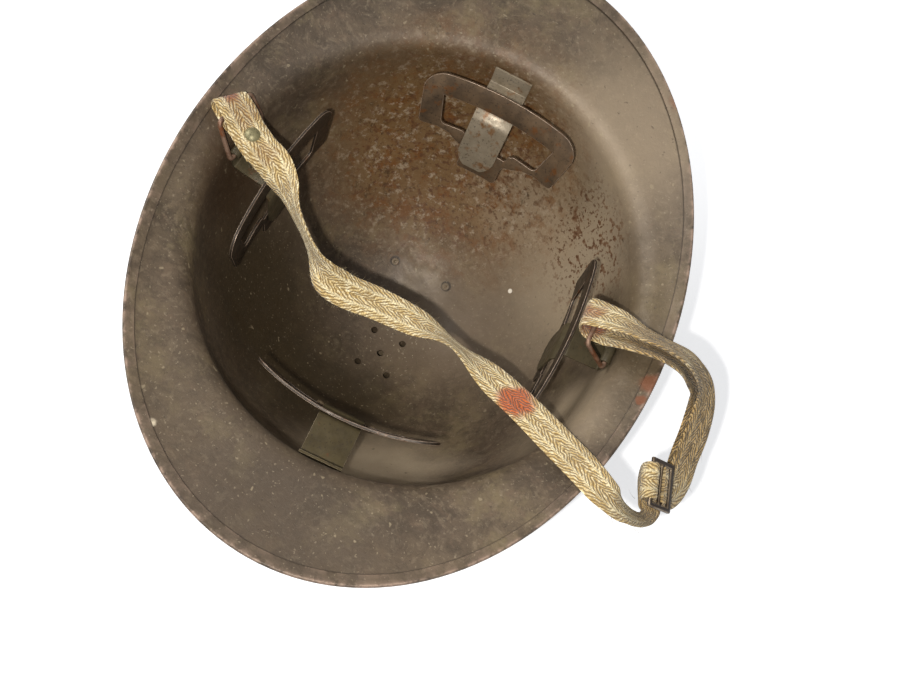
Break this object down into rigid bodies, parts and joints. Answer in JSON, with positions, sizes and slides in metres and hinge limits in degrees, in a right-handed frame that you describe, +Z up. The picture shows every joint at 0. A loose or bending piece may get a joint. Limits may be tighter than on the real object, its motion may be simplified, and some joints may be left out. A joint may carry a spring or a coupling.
{
  "type": "steel helmet",
  "caption": "Crested steel helmet lying on its comb, open side up, with four liner clips, two wire bails and a webbing chin strap hanging over the brim",
  "frame": {"origin": "under the middle of the brim, level with the lowest point of the comb; the helmet lies upside down", "axes": "+Z up out of the open side, +Y towards the back of the helmet, +X towards the wearer's right"},
  "size_m": [0.2663, 0.3014, 0.1573],
  "materials": {
    "painted_sheet": "worn matt paint with patina",
    "rivet_steel": "worn paint",
    "olive_strip": "worn olive paint",
    "spring_plate": "dark oxidised steel",
    "rusty_wire": "rusted wire",
    "webbing": "woven herringbone webbing",
    "aged_brass": "tarnished",
    "dark_steel": "blackened"
  },
  "bodies": {
    "helmet": {"shell": "painted_sheet", "comb": "painted_sheet", "comb_rivets": "rivet_steel", "front_bracket": "olive_strip", "back_bracket": "olive_strip", "left_bracket": "olive_strip", "right_bracket": "olive_strip", "front_plate": "spring_plate", "back_plate": "spring_plate", "left_plate": "spring_plate", "right_plate": "spring_plate", "chin_strap": "webbing"},
    "left_bail": {"left_bail": "rusty_wire", "strap_rivet": "aged_brass", "strap_washer": "aged_brass"},
    "right_bail": {"right_bail": "rusty_wire"},
    "slider": {"slider": "dark_steel"}
  },
  "joints": [
    {"name": "left_bail_hinge", "type": "hinge", "parent": "helmet", "child": "left_bail", "pos_m": [-0.09253, 0.00766, 0.12455], "axis": [0.0823, 0.9966, 0], "range_deg": [-2, 50], "deforming": ["chin_strap"]},
    {"name": "right_bail_hinge", "type": "hinge", "parent": "helmet", "child": "right_bail", "pos_m": [0.09289, -0.001, 0.1245], "axis": [0, 1, 0], "range_deg": [-20, 55], "deforming": ["chin_strap"]},
    {"name": "slider_slide", "type": "slide", "parent": "helmet", "child": "slider", "axis": [0.8008, 0.2146, -0.5592], "range_m": [-0.006, 0.006], "deforming": ["chin_strap"]}
  ]
}
